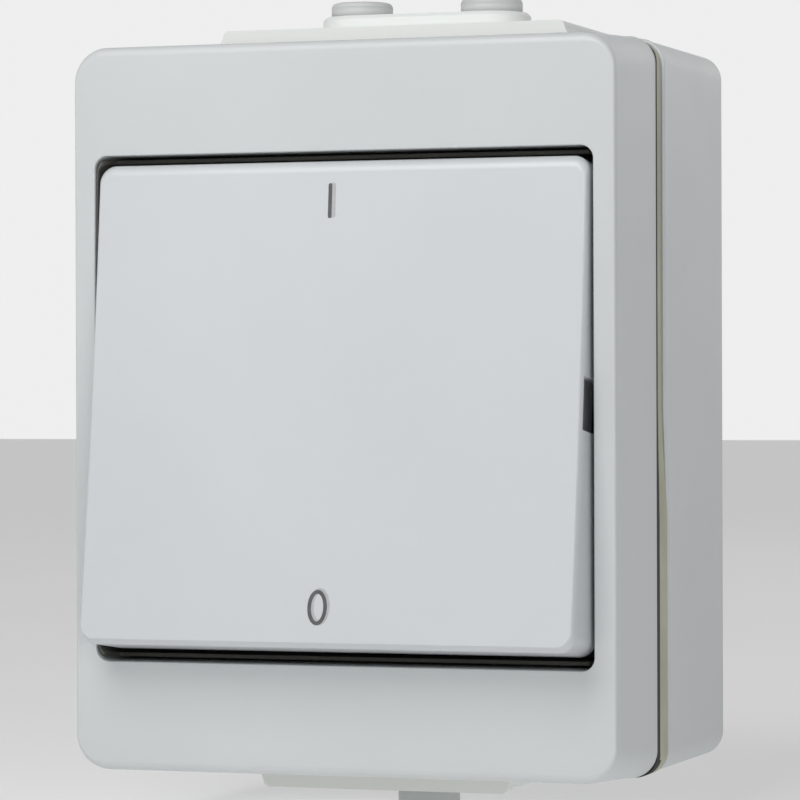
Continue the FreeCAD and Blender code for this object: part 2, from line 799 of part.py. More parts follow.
def entry_plate(width, mid_x, thick, front_d, plug_w, boss_half, holes):
    """Raised plate on the top of the base; the plug under it fills the opening in the wall."""
    top = half_h + thick
    x0 = mid_x - width / 2
    x1 = mid_x + width / 2
    a = x0 + plate_end_lean
    b = x1 - plate_end_lean
    r = plate_end_r
    k = r * (1 - math.sqrt(0.5))
    y = -front_d
    edges = [
        Part.LineSegment(V(x0, y, half_h), V(x1, y, half_h)).toShape(),
        Part.LineSegment(V(x1, y, half_h), V(b, y, top - r)).toShape(),
        Part.Arc(V(b, y, top - r), V(b - k, y, top - k), V(b - r, y, top)).toShape(),
        Part.LineSegment(V(b - r, y, top), V(a + r, y, top)).toShape(),
        Part.Arc(V(a + r, y, top), V(a + k, y, top - k), V(a, y, top - r)).toShape(),
        Part.LineSegment(V(a, y, top - r), V(x0, y, half_h)).toShape(),
    ]
    body = Part.Face(Part.Wire(edges)).extrude(V(0, front_d - plate_back_d, 0))
    plug = box(-plug_w / 2 + plug_play, plug_w / 2 - plug_play, plug_back_d + plug_play,
               plug_front_d - plug_play, half_h - base_wall, half_h)
    body = body.fuse(plug)
    roof_top = top
    pocket_half = bottom_pocket_half
    if boss_half > 0:
        roof_top = top + boss_h
        pocket_half = boss_half
        boss = stadium(boss_half, boss_r, top - bite, roof_top)
        boss = boss.makeChamfer(boss_edge_c, edges_at_height(boss, roof_top))
        body = body.fuse(boss)
    pocket_r = grommet_flange_r + grommet_play
    pocket = stadium(pocket_half, pocket_r, half_h - base_wall - past, roof_top - roof_t)
    body = body.cut(pocket)
    for x in holes:
        body = body.cut(rod_z(x, entry_axis_d, grommet_neck_r + grommet_play,
                              roof_top - roof_t - past, roof_top + past))
    return body.removeSplitter()


def grommet(x, roof_top, nipple_h):
    """Closed cable nipple: head outside the roof, neck through it, flange below."""
    roof_low = roof_top - roof_t
    top = roof_top + nipple_h
    flange_low = roof_low - grommet_flange_t
    head = rod_z(x, entry_axis_d, grommet_r, roof_top, top)
    head = head.makeChamfer(grommet_edge_c, edges_at_height(head, top))
    neck = rod_z(x, entry_axis_d, grommet_neck_r, roof_low, roof_top)
    flange = rod_z(x, entry_axis_d, grommet_flange_r, flange_low, roof_low)
    bore = rod_z(x, entry_axis_d, grommet_bore_r, flange_low - past, top - grommet_membrane)
    return head.fuse(neck).fuse(flange).cut(bore).removeSplitter()


# Earth terminal in the lower part of the base

def earth_terminal():
    x1 = earth_w / 2
    front = earth_seat_d + earth_d
    body = box(-x1, x1, earth_seat_d, front, earth_z - earth_h / 2, earth_z + earth_h / 2)
    body = body.makeChamfer(clamp_chamfer, edges_at_depth(body, front))
    middle = earth_seat_d + earth_d / 2
    for s in (-1, 1):
        x = s * earth_pitch / 2
        body = body.cut(rod_z(x, middle, wire_bore_r, earth_z - earth_h, earth_z + earth_h))
        body = body.cut(rod_y(x, earth_z, terminal_screw_r + screw_play, middle, front + past))
    return body


def earth_screws():
    front = earth_seat_d + earth_d
    middle = earth_seat_d + earth_d / 2
    tip = middle + wire_bore_r - terminal_tip_in
    seat = front + terminal_head_gap
    pair = [slotted_screw(s * earth_pitch / 2, earth_z, terminal_screw_r, tip, seat,
                          terminal_head_r, terminal_head_t) for s in (-1, 1)]
    return Part.makeCompound(pair)


def cover_screws():
    pair = [slotted_screw(s * cover_screw_x, -s * cover_screw_z, cover_screw_r,
                          deck_back_d - cover_screw_grip, deck_front_d, cover_head_r, cover_head_t)
            for s in (-1, 1)]
    return Part.makeCompound(pair)


def mechanism_screws():
    pair = [slotted_screw(s * mech_screw_x, s * mech_screw_z, mech_screw_r,
                          mech_front_d - mech_screw_grip, frame_front_d, mech_head_r, mech_head_t)
            for s in (-1, 1)]
    return Part.makeCompound(pair)


def terminal_screws():
    right = terminal_screw()
    left = mirror_x(right)
    return Part.makeCompound([right, left, mirror_z(right), mirror_z(left)])


def build():
    clamp = terminal_clamp()
    tip = fixed_contact_tip()
    top_plate = entry_plate(top_plate_w, 0, top_plate_t, plate_front_d, top_plug_w, top_grommet_x,
                            (-top_grommet_x, top_grommet_x))
    bottom_plate = entry_plate(bottom_plate_w, bottom_plate_x, bottom_plate_t, plate_front_d - rim_drop,
                               bottom_plug_w, 0, (0,))
    parts = {
        "base_box": base_box(),
        "housing_gasket": housing_gasket(),
        "front_cover": front_cover(),
        "window_seal": window_seal(),
        "cover_screws": cover_screws(),
        "top_entry_plate": top_plate,
        "bottom_entry_plate": mirror_z(bottom_plate),
        "top_grommet_left": grommet(-top_grommet_x, top_roof_z, top_nipple_h),
        "top_grommet_right": grommet(top_grommet_x, top_roof_z, top_nipple_h),
        "bottom_grommet": mirror_z(grommet(0, bottom_roof_z, bottom_nipple_h)),
        "mechanism_housing": mechanism_housing(),
        "mechanism_frame": mechanism_frame(),
        "mechanism_screws": mechanism_screws(),
        "rocker": rocker(),
        "rocker_cradle": rocker_cradle(),
        "plunger_right": plunger(pole_x),
        "plunger_left": plunger(-pole_x),
        "plunger_spring_right": plunger_spring(pole_x),
        "plunger_spring_left": plunger_spring(-pole_x),
        "contact_lever_right": contact_lever(),
        "contact_lever_left": mirror_x(contact_lever()),
        "lever_tip_right": lever_tip(),
        "lever_tip_left": mirror_x(lever_tip()),
        "common_contact_right": common_contact(),
        "common_contact_left": mirror_x(common_contact()),
        "fixed_contact_right": fixed_contact(),
        "fixed_contact_left": mirror_x(fixed_contact()),
        "fixed_contact_tips": Part.makeCompound([tip, mirror_x(tip)]),
        "upper_clamp_right": clamp,
        "upper_clamp_left": mirror_x(clamp),
        "lower_clamp_right": mirror_z(clamp),
        "lower_clamp_left": mirror_z(mirror_x(clamp)),
        "terminal_screws": terminal_screws(),
        "earth_terminal": earth_terminal(),
        "earth_screws": earth_screws(),
    }
    return parts


os.makedirs("parts", exist_ok=True)
for name, shape in build().items():
    shape.exportStep("parts/" + name + ".step")
    print(name, "solids", len(shape.Solids), "volume", round(shape.Volume, 1), "valid", shape.isValid())
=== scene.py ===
import math

import bpy
import numpy as np
from mathutils import Matrix, Vector


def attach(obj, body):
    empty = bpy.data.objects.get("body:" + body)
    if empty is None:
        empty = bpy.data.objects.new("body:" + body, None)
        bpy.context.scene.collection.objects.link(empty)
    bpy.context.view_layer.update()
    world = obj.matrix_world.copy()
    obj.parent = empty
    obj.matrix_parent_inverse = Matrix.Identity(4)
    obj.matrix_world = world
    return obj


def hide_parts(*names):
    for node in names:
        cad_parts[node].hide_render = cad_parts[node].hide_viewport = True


# Outdoor rocker switch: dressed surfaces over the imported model.
# Sizes are in millimetres and depths are distances from the wall; the meshes are in metres.

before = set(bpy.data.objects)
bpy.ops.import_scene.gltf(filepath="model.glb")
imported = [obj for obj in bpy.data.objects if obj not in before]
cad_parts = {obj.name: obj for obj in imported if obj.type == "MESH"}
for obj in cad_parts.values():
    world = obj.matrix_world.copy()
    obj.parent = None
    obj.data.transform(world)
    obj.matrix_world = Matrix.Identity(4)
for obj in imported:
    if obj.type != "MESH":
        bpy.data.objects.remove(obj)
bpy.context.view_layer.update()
print("frame loaded:", len(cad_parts), "nodes")


# Camera at the place from which the photograph was taken

view = {
    "place": (0.152258, -0.460024, 0.002664),
    "yaw": 19.237,
    "pitch": 0.226,
    "roll": -0.188,
    "lens": 176.823,
    "sensor": 36.0,
}


def makeCamera(v):
    yaw, pitch, roll = (math.radians(v[k]) for k in ("yaw", "pitch", "roll"))
    back = Vector((math.sin(yaw) * math.cos(pitch), -math.cos(yaw) * math.cos(pitch), math.sin(pitch)))
    side = (-back).cross(Vector((0, 0, 1))).normalized()
    up = side.cross(-back)
    right = side * math.cos(roll) + up * math.sin(roll)
    above = up * math.cos(roll) - side * math.sin(roll)
    lens = bpy.data.cameras.new("photoCamera")
    lens.lens = v["lens"]
    lens.sensor_width = v["sensor"]
    camera = bpy.data.objects.new("photoCamera", lens)
    turn = Matrix((right, above, back)).transposed().to_4x4()
    camera.matrix_world = Matrix.Translation(v["place"]) @ turn
    bpy.context.scene.collection.objects.link(camera)
    bpy.context.scene.camera = camera


makeCamera(view)
print("camera placed")


# Surfaces

# Way round a rounded rectangle, anticlockwise from the foot of its right side. A point lies at
# x = u (a - r) + r cos(turn), z = v (b - r) + r sin(turn): u and v run from -1 to 1 along the
# straight sides and keep their sign round a corner, while the turn goes through a right angle.
def roundWay(alongZ, alongX, cornerSteps):
    arc = np.linspace(0, np.pi / 2, cornerSteps, endpoint=False)
    u = np.concatenate((np.ones_like(alongZ), np.ones_like(arc), -alongX, -np.ones_like(arc),
                        -np.ones_like(alongZ), -np.ones_like(arc), alongX, np.ones_like(arc)))
    v = np.concatenate((alongZ, np.ones_like(arc), np.ones_like(alongX), np.ones_like(arc),
                        -alongZ, -np.ones_like(arc), -np.ones_like(alongX), -np.ones_like(arc)))
    turn = np.concatenate((0 * alongZ, arc, 0 * alongX + np.pi / 2, arc + np.pi / 2,
                           0 * alongZ + np.pi, arc + np.pi,
                           0 * alongX + 1.5 * np.pi, arc + 1.5 * np.pi))
    return u, v, turn


# Steps from -1 up to 1, the last left out, crowded at both ends: -cos(pi t) for t from 0 to 1
def crowded(steps):
    return -np.cos(np.pi * np.arange(steps) / steps)


# Rings of the way: each row of the profile is half width, half height, corner radius and depth
def ringGrid(way, profile):
    u, v, turn = way
    a, b, r, d = (profile[:, k:k + 1] for k in range(4))
    x = u * (a - r) + r * np.cos(turn)
    z = v * (b - r) + r * np.sin(turn)
    return x, d + 0 * x, z


# Corners of a profile broken by a hairline: each run from p to q keeps the points
# p + t (q - p) at t = e, 3e, 1 - 3e and 1 - e, where e is the hairline over the run's length
def crisp(profile, hairline, closed=False):
    p = profile if closed else profile[:-1]
    q = np.roll(profile, -1, axis=0) if closed else profile[1:]
    run = np.sqrt(((q - p)[:, [0, 1, 3]] ** 2).sum(axis=1))
    e = np.minimum(hairline / run, 0.12)[:, None, None]
    t = np.concatenate((e, 3 * e, 1 - 3 * e, 1 - e), axis=1)
    cut = p[:, None, :] + t * (q - p)[:, None, :]
    cut = cut.reshape(-1, profile.shape[1])
    if closed:
        return cut
    return np.concatenate((profile[:1], cut[1:-1], profile[-1:]))


# Rows between two profile rows, evenly spaced
def between(p, q, count):
    t = np.linspace(0, 1, count + 2)[:, None]
    return np.asarray(p) + t * (np.asarray(q) - np.asarray(p))


# Mesh of a grid of rings. Closed: the last ring joins the first. Poles: a point in the middle of
# the first and of the last ring closes it. Millimetres and depth become metres and -Y.
def skin(name, grid, closed=False, poles=(False, False)):
    x, d, z = grid
    rings, n = x.shape
    points = np.stack((x, -d, z), axis=2).reshape(-1, 3)
    i = np.arange(rings if closed else rings - 1)[:, None]
    j = np.arange(n)[None, :]
    k = (j + 1) % n
    nextRing = (i + 1) % rings
    quads = np.stack((i * n + j, i * n + k, nextRing * n + k, nextRing * n + j), axis=2).reshape(-1, 4)
    fans = []
    for wanted, row, order in ((poles[0], 0, (2, 1, 0)), (poles[1], rings - 1, (0, 1, 2))):
        if wanted:
            middle = points[row * n:(row + 1) * n].mean(axis=0)
            points = np.concatenate((points, middle[None]))
            edge = np.arange(n)
            fan = np.stack((row * n + edge, row * n + (edge + 1) % n,
                            0 * edge + len(points) - 1), axis=1)
            fans.append(fan[:, list(order)])
    return meshOf(name, points * 0.001, quads, fans)


# Object of points, quads and fans of triangles; a negative volume turns every face round
def meshOf(name, points, quads, fans=()):
    tris = np.concatenate((quads[:, [0, 1, 2]], quads[:, [0, 2, 3]], *fans))
    p, q, s = (points[tris[:, c]] for c in range(3))
    if np.einsum("ij,ij->i", p, np.cross(q, s)).sum() < 0:
        quads = quads[:, ::-1]
        fans = [fan[:, ::-1] for fan in fans]
    faces = quads.tolist() + [row for fan in fans for row in fan.tolist()]
    mesh = bpy.data.meshes.new(name)
    mesh.from_pydata(points.tolist(), [], faces)
    mesh.polygons.foreach_set("use_smooth", np.ones(len(faces), dtype=bool))
    mesh.update()
    piece = bpy.data.objects.new(name, mesh)
    bpy.context.scene.collection.objects.link(piece)
    return piece


def mount(piece, body, slotName, material, *nodes):
    piece.data.materials.append(material)
    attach(piece, body)
    if nodes:
        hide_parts(*nodes)
    return piece


# Materials

# sRGB numbers from 0 to 255 made linear
def paint(red, green, blue):
    c = np.array((red, green, blue)) / 255
    linear = np.where(c <= 0.04045, c / 12.92, ((c + 0.055) / 1.055) ** 2.4)
    return (*linear.tolist(), 1.0)


# Material whose tone, roughness and fine relief come from noise on the object's own coordinates:
# rough is the least and greatest roughness, relief the bump's strength and height in metres
def grained(name, light, dark, rough, grain, relief, metallic=0.0):
    material = bpy.data.materials.new(name)
    material.use_nodes = True
    tree = material.node_tree
    shader = tree.nodes["Principled BSDF"]
    shader.inputs["Metallic"].default_value = metallic
    where = tree.nodes.new("ShaderNodeTexCoord").outputs["Object"]

    def noise(scale, detail):
        node = tree.nodes.new("ShaderNodeTexNoise")
        node.inputs["Scale"].default_value = scale
        node.inputs["Detail"].default_value = detail
        tree.links.new(where, node.inputs["Vector"])
        return node.outputs["Fac"]

    blend = tree.nodes.new("ShaderNodeMix")
    blend.data_type = "RGBA"
    blend.inputs["A"].default_value = light
    blend.inputs["B"].default_value = dark
    cloud = tree.nodes.new("ShaderNodeMapRange")
    cloud.inputs["From Min"].default_value = 0.3
    cloud.inputs["From Max"].default_value = 0.7
    tree.links.new(noise(grain["cloud"], 4.0), cloud.inputs["Value"])
    tree.links.new(cloud.outputs["Result"], blend.inputs["Factor"])
    tree.links.new(blend.outputs["Result"], shader.inputs["Base Color"])

    satin = tree.nodes.new("ShaderNodeMapRange")
    satin.inputs["To Min"].default_value = rough[0]
    satin.inputs["To Max"].default_value = rough[1]
    tree.links.new(noise(grain["satin"], 3.0), satin.inputs["Value"])
    tree.links.new(satin.outputs["Result"], shader.inputs["Roughness"])

    bump = tree.nodes.new("ShaderNodeBump")
    bump.inputs["Strength"].default_value = relief[0]
    bump.inputs["Distance"].default_value = relief[1]
    tree.links.new(noise(grain["pores"], 2.0), bump.inputs["Height"])
    tree.links.new(bump.outputs["Normal"], shader.inputs["Normal"])
    return material


mould = {"cloud": 22.0, "satin": 160.0, "pores": 3800.0}
finish = {
    "housing_plastic": grained("mouldedGrey", paint(209, 213, 214), paint(203, 207, 208),
                               (0.34, 0.44), mould, (0.12, 0.00006)),
    "plate": grained("plateWhite", paint(245, 248, 246), paint(241, 244, 242),
                     (0.44, 0.56), mould, (0.1, 0.00005)),
    "rocker_plastic": grained("rockerGrey", paint(212, 215, 217), paint(206, 210, 212),
                              (0.28, 0.36), mould, (0.06, 0.00004)),
    "gasket_rubber": grained("gasketBeige", paint(192, 194, 174), paint(172, 171, 152), (0.62, 0.78),
                             {"cloud": 90.0, "satin": 300.0, "pores": 2600.0}, (0.3, 0.00008)),
    "seal_rubber": grained("sealDark", paint(88, 87, 82), paint(74, 73, 69), (0.5, 0.66),
                           {"cloud": 60.0, "satin": 240.0, "pores": 2600.0}, (0.25, 0.00006)),
    "grommet_rubber": grained("grommetGrey", paint(214, 217, 216), paint(206, 209, 208), (0.5, 0.62),
                              {"cloud": 120.0, "satin": 300.0, "pores": 3000.0}, (0.2, 0.00006)),
    "insert_plastic": grained("insertCream", paint(224, 222, 212), paint(214, 212, 200),
                              (0.4, 0.52), mould, (0.1, 0.00005)),
    "screw_steel": grained("zincSteel", paint(206, 208, 210), paint(184, 186, 186),
                           (0.26, 0.44), {"cloud": 300.0, "satin": 900.0, "pores": 5200.0},
                           (0.15, 0.00004), metallic=1.0),
    "contact_brass": grained("stampedBrass", paint(222, 196, 132), paint(196, 164, 98),
                             (0.28, 0.46), {"cloud": 240.0, "satin": 700.0, "pores": 4600.0},
                             (0.12, 0.00004), metallic=1.0),
    "tip_silver": grained("contactSilver", paint(232, 231, 226), paint(214, 212, 204),
                          (0.2, 0.36), {"cloud": 400.0, "satin": 900.0, "pores": 5200.0},
                          (0.1, 0.00003), metallic=1.0),
    # Painted shade: near-black for the seam's ring, which stands where the joint is only deep shadow
    "paintedShade": grained("seamShade", paint(28, 25, 23), paint(20, 18, 16),
                     (0.7, 0.8), {"cloud": 200.0, "satin": 300.0, "pores": 2600.0}, (0.2, 0.00005)),
    "mark": grained("markGrey", paint(92, 93, 94), paint(76, 77, 78),
                    (0.5, 0.6), {"cloud": 900.0, "satin": 500.0, "pores": 5200.0}, (0.1, 0.00003)),
    # Painted shadow: a pale grey that stands for the soft shadow to the right of each mark
    "markPaintedShadow": grained("markShadowPaint", paint(188, 190, 192), paint(176, 178, 180),
                         (0.4, 0.5), {"cloud": 900.0, "satin": 500.0, "pores": 5200.0}, (0.1, 0.00003)),
}

wears = {
    "housing_plastic": ("base_box", "front_cover"),
    "plate": ("top_entry_plate", "bottom_entry_plate"),
    "rocker_plastic": ("rocker",),
    "gasket_rubber": ("housing_gasket",),
    "seal_rubber": ("window_seal",),
    "grommet_rubber": ("top_grommet_left", "top_grommet_right", "bottom_grommet"),
    "insert_plastic": ("mechanism_housing", "mechanism_frame", "rocker_cradle", "plunger_right",
                       "plunger_left"),
    "screw_steel": ("cover_screws", "mechanism_screws", "terminal_screws", "earth_screws",
                    "plunger_spring_right", "plunger_spring_left"),
    "contact_brass": ("contact_lever_right", "contact_lever_left", "common_contact_right",
                      "common_contact_left", "fixed_contact_right", "fixed_contact_left",
                      "upper_clamp_right", "upper_clamp_left", "lower_clamp_right", "lower_clamp_left",
                      "earth_terminal"),
    "tip_silver": ("lever_tip_right", "lever_tip_left", "fixed_contact_tips"),
}
for slotName, members in wears.items():
    for member in members:
        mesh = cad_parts[member].data
        mesh.materials.clear()
        mesh.materials.append(finish[slotName])
print("materials ready:", len(finish))


# Front cover: one closed skin from the rear rim over the front edge and into the window

cover = {
    "halfW": 33.0,
    "halfH": 42.05,
    "rimD": 30.2,
    "frontD": 44.6,
    "taper": 0.55,
    "rearCorner": 3.2,
    "frontCorner": 4.0,
    "edgeSide": 0.4,
    "edgeEnd": 1.2,
    "edgeDeep": 0.9,
    "rimEdge": 0.14,
    "flare": 0.06,
    "flareDeep": 0.9,
    "wall": 2.0,
    "windowHalfW": 29.85,
    "windowHalfH": 29.025,
    "windowCorner": 1.5,
    "windowEdge": 0.16,
    "deckFrontD": 34.4,
    "deckBackD": 32.8,
    "slotHalfW": 17.0,
    "slotHalfH": 15.0,
    "collarHalfH": 30.325,
    "collarIn": 0.6,
    "collarCorner": 2.5,
    "undersideD": 42.6,
    "undersideIn": 0.5,
    "undersideCorner": 2.6,
    "rimCorner": 1.8,
    "hairline": 0.15,
    "insideHairline": 0.08,
}


# The outside tapers evenly from rim to front and flares a little at the rim. The front edge is a
# quarter ellipse: inset by (1 - cos f) of its width and raised by sin f of its depth. The window's
# edge is a quarter circle.
def coverSkin(c):
    def outside(d):
        share = (d - c["rimD"]) / (c["frontD"] - c["rimD"])
        inset = c["taper"] * share
        r = c["rearCorner"] + (c["frontCorner"] - c["rearCorner"]) * share
        return np.array((c["halfW"] - inset, c["halfH"] - inset, r, d))

    f = np.linspace(0, np.pi / 2, 8)[:, None]
    e, flare = c["rimEdge"], c["flare"]
    out = np.array((flare, flare, flare, 0))
    rim = outside(c["rimD"]) + out - (1 - np.sin(f)) * np.array((e, e, e, 0))
    rim[:, 3] = c["rimD"] + e * (1 - np.cos(f[:, 0]))
    t = np.linspace(0.3, 1, 6)[:, None]
    neck = outside(c["rimD"] + c["flareDeep"]) + out * (1 - t ** 2 * (3 - 2 * t))
    neck[:, 3] = c["rimD"] + c["flareDeep"] * t[:, 0]
    rim = np.concatenate((rim, neck))
    start = outside(c["frontD"] - c["edgeDeep"])
    side = crisp(between(outside(c["rimD"] + c["flareDeep"]), start, 3), c["hairline"])
    f = np.linspace(0, np.pi / 2, 14)[:, None]
    pull = np.array((c["edgeSide"], c["edgeEnd"], 1.0, 0))
    edge = start - (1 - np.cos(f)) * pull
    edge[:, 3] = start[3] + c["edgeDeep"] * np.sin(f[:, 0])
    w = c["windowEdge"]
    brink = np.array((c["windowHalfW"], c["windowHalfH"], c["windowCorner"], 0))
    f = np.linspace(0, np.pi / 2, 7)[:, None]
    lip = brink + w * (1 - np.sin(f)) * np.array((1, 1, 1, 0))
    lip[:, 3] = c["frontD"] - w + w * np.cos(f[:, 0])
    front = crisp(between(edge[-1], lip[0], 4), c["hairline"])
    window = (c["windowHalfW"], c["windowHalfH"], c["windowCorner"])
    slot = (c["slotHalfW"], c["slotHalfH"], c["windowCorner"])
    inner = c["halfW"] - c["wall"]
    innerH = c["halfH"] - c["wall"]
    collar = (inner - c["collarIn"], c["collarHalfH"], c["collarCorner"])
    inside = np.array((
        (*window, c["frontD"] - w),
        (*window, c["deckFrontD"]),
        (*slot, c["deckFrontD"]),
        (*slot, c["deckBackD"]),
        (*collar, c["deckBackD"]),
        (*collar, c["undersideD"]),
        (inner - c["undersideIn"], innerH - c["undersideIn"], c["undersideCorner"], c["undersideD"]),
        (inner, innerH, c["rimCorner"], c["rimD"]),
        (c["halfW"] + flare - e, c["halfH"] + flare - e, c["rearCorner"] + flare - e, c["rimD"]),
    ))
    inside = crisp(inside, c["insideHairline"])
    profile = np.concatenate((rim[:-1], side, edge[1:-1], front, lip[1:-1], inside[:-1]))
    way = roundWay(crowded(24), crowded(24), 14)
    return skin("coverShell", ringGrid(way, profile), closed=True)


mount(coverSkin(cover), "housing", "housing_plastic", finish["housing_plastic"], "front_cover")
print("cover made")


# Window seal: a sheet on the deck with a lip round its slot, and a rim that stands a little off the
# window's wall. The rim rises along the left side and drops along the right one.

seal = {
    "outer": (29.73, 28.7, 1.4),
    "inner": (29.58, 28.2, 1.2),
    "lip": (17.0, 13.8, 2.3),
    "slot": (16.2, 13.0, 1.5),
    "backD": 34.45,
    "frontD": 35.1,
    "lipD": 36.1,
    "rimD": 41.0,
    "leftRise": 3.2,
    "rightRise": -4.0,
    "cornerX": 28.3,
    "cornerW": 0.9,
    "hairline": 0.06,
}


# The rim's depth changes by its rise times t t (3 - 2 t), t being the way across a corner
def sealSkin(c):
    profile = crisp(np.array((
        (*c["outer"], c["backD"]), (*c["outer"], c["rimD"]), (*c["inner"], c["rimD"]),
        (*c["inner"], c["frontD"]), (*c["lip"], c["frontD"]), (*c["lip"], c["lipD"]),
        (*c["slot"], c["lipD"]), (*c["slot"], c["backD"]),
    )), c["hairline"], closed=True)
    x, d, z = ringGrid(roundWay(crowded(24), crowded(24), 14), profile)
    t = np.clip((np.abs(x) - c["cornerX"]) / c["cornerW"], 0, 1)
    rise = np.where(x < 0, c["leftRise"], c["rightRise"])
    share = np.clip((d - c["lipD"]) / (c["rimD"] - c["lipD"]), 0, 1)
    d = d + rise * share * t * t * (3 - 2 * t)
    return skin("sealSheet", (x, d, z), closed=True)


mount(sealSkin(seal), "housing", "seal_rubber", finish["seal_rubber"], "window_seal")
print("seal made")


# Rocker cap, worked out level and then swung to rest about its pivot

cap = {
    "halfW": 29.35,
    "halfH": 27.5,
    "lift": 0.15,
    "corner": 1.9,
    "faceD": 48.0,
    "dish": 0.5,
    "edgeSide": 0.5,
    "edgeEnd": 1.5,
    "edgeLow": 0.55,
    "edgeDeep": 1.2,
    "crease": 0.1,
    "creaseAt": 0.86,
    "creaseW": 0.12,
    "lipD": 39.0,
    "wall": 1.5,
    "innerCorner": 0.9,
    "faceT": 1.7,
    "notchDeep": 1.3,
    "notchFrontD": 47.1,
    "notchHalf": 2.95,
    "notchSide": 0.04,
    "padHalf": 4.35,
    "padIn": 1.4,
    "padEase": 0.3,
    "rowsZ": (*np.linspace(5.5, 24.5, 18), 25.2),
    "aboveLip": (0.0, 0.1, 0.3),
    "belowEdge": (0.5, 0.1, 0.06, 0.04, 0.0),
    "edgeTurns": (7, 14, 21, 28, 35, 42, 49, 56, 63, 69, 74, 78, 82, 86, 90),
    "faceShares": (0.997, 0.99, 0.975, *np.linspace(0.94, 0.06, 14)),
    "innerShare": 0.03,
    "pivotD": 43.2,
    "swing": 7.0,
    "hairline": 0.12,
}


# Depth d and height z turned back by the swing about the pivot line
def swung(grid, c):
    x, d, z = grid
    a = math.radians(c["swing"])
    out = d - c["pivotD"]
    return x, c["pivotD"] + out * math.cos(a) - z * math.sin(a), z * math.cos(a) + out * math.sin(a)


# The dish lowers the face by 1 - (z / half height) squared of its depth
def dishDrop(z, c):
    return c["dish"] * (1 - np.clip(np.abs(z) / c["halfH"], 0, 1) ** 2)


# Skirt, rounded edge (a quarter ellipse) and face in shrinking rings to the middle; then the same
# inside, a wall's thickness in. The lower edge is a narrow facet under a fine crease instead. Skirt
# points of the right side near mid-height are held back by the notch, up to its front wall; the
# inner wall steps in round the notch as a pad. The way's points crowd at the ends of both.
def capSkin(c):
    straight = c["halfH"] - c["corner"]
    n, k = c["notchHalf"], c["notchSide"]
    pad = c["padHalf"] + c["padEase"]
    bends = np.array((n + 5 * k, n + 2 * k, n + k, n, n - k, n - 5 * k))
    half = np.sort(np.concatenate((bends, (c["padHalf"], pad), c["rowsZ"])))
    alongZ = np.concatenate(((-straight,), -half[::-1], (-1.5, 0.0, 1.5), half)) / straight
    way = roundWay(alongZ, crowded(40), 10)
    right = (way[0] == 1) & (way[2] == 0)
    height = np.where(right, np.abs(way[1]) * straight, 99.0)
    held = np.interp(height, (n, n + k), (1, 0))
    padded = np.interp(height, (c["padHalf"], pad), (1, 0))

    wallTop = c["faceD"] - c["edgeDeep"]
    outer = np.array((c["halfW"], c["halfH"], c["corner"]))
    levels = np.concatenate((c["lipD"] + np.array(c["aboveLip"]), wallTop - np.array(c["belowEdge"])))
    skirt = np.concatenate((np.tile(outer, (len(levels), 1)), levels[:, None]), axis=1)
    f = np.radians(c["edgeTurns"])[:, None]
    pull = np.array((c["edgeSide"], c["edgeEnd"], c["edgeSide"], 0))
    edge = skirt[-1] - (1 - np.cos(f)) * pull
    edge[:, 3] = wallTop + c["edgeDeep"] * np.sin(f[:, 0])
    s = np.array(c["faceShares"])[:, None]
    face = edge[-1] * s
    face[:, 3] = c["faceD"]
    x, d, z = ringGrid(way, np.concatenate((skirt, edge, face)))
    g = np.concatenate((np.zeros(len(skirt)), 1 - np.cos(f[:, 0]), np.ones(len(face))))[:, None]
    stretch = (c["halfH"] - c["edgeLow"] * g) / (c["halfH"] - c["edgeEnd"] * g)
    z = np.where(z < 0, z * stretch, z)
    low = np.clip((-z - straight) / c["corner"], 0, 1)
    bend = np.clip(1 - np.abs(g - c["creaseAt"]) / c["creaseW"], 0, 1)
    facet = wallTop + c["edgeDeep"] * g - c["crease"] * bend
    d = np.where((g > 0) & (g < 1), d + low * (facet - d), d)
    recess = np.minimum(x, c["halfW"] - c["notchDeep"] * held)
    x = np.where(d < c["notchFrontD"], recess, x)
    d = d - dishDrop(z, c) * np.clip((d - c["lipD"]) / (wallTop - c["lipD"]), 0, 1)

    t = c["wall"]
    within = np.array((c["halfW"] - t, c["halfH"] - t, c["innerCorner"]))
    innerD = c["faceD"] - c["faceT"]
    back = np.array(((*within, c["lipD"]), (*within, innerD), (*(within * c["innerShare"]), innerD)))
    back = crisp(back, c["hairline"])
    bx, bd, bz = ringGrid(way, back)
    bx = np.minimum(bx, c["halfW"] - t - (c["notchDeep"] + c["padIn"] - t) * padded)
    z = np.concatenate((z[::-1], bz)) + c["lift"]
    grid = (np.concatenate((x[::-1], bx)), np.concatenate((d[::-1], bd)), z)
    return skin("rockerCap", swung(grid, c), poles=(True, True))


mount(capSkin(cap), "rocker_unit", "rocker_plastic", finish["rocker_plastic"], "rocker")
print("rocker cap made")


# Marks I and 0, thin raised strokes that follow the dished face, each with a pale stroke of painted
# shadow beside it

marks = {
    "onX": -0.81,
    "onZ": 22.98,
    "onHalfL": 2.0,
    "offX": -0.455,
    "offZ": -22.85,
    "offHalfW": 0.94,
    "offHalfH": 1.76,
    "stroke": 0.44,
    "proud": 0.05,
    "sunk": 0.12,
}
# Painted shadow of each mark: a wider and lower stroke in pale grey a little to its right, standing for
# the soft shadow beside it
paintedShade = {
    **marks,
    "onX": marks["onX"] + 0.34,
    "onZ": marks["onZ"] + 0.06,
    "offX": marks["offX"] + 0.22,
    "offZ": marks["offZ"] + 0.1,
    "stroke": 0.62,
    "proud": 0.02,
}


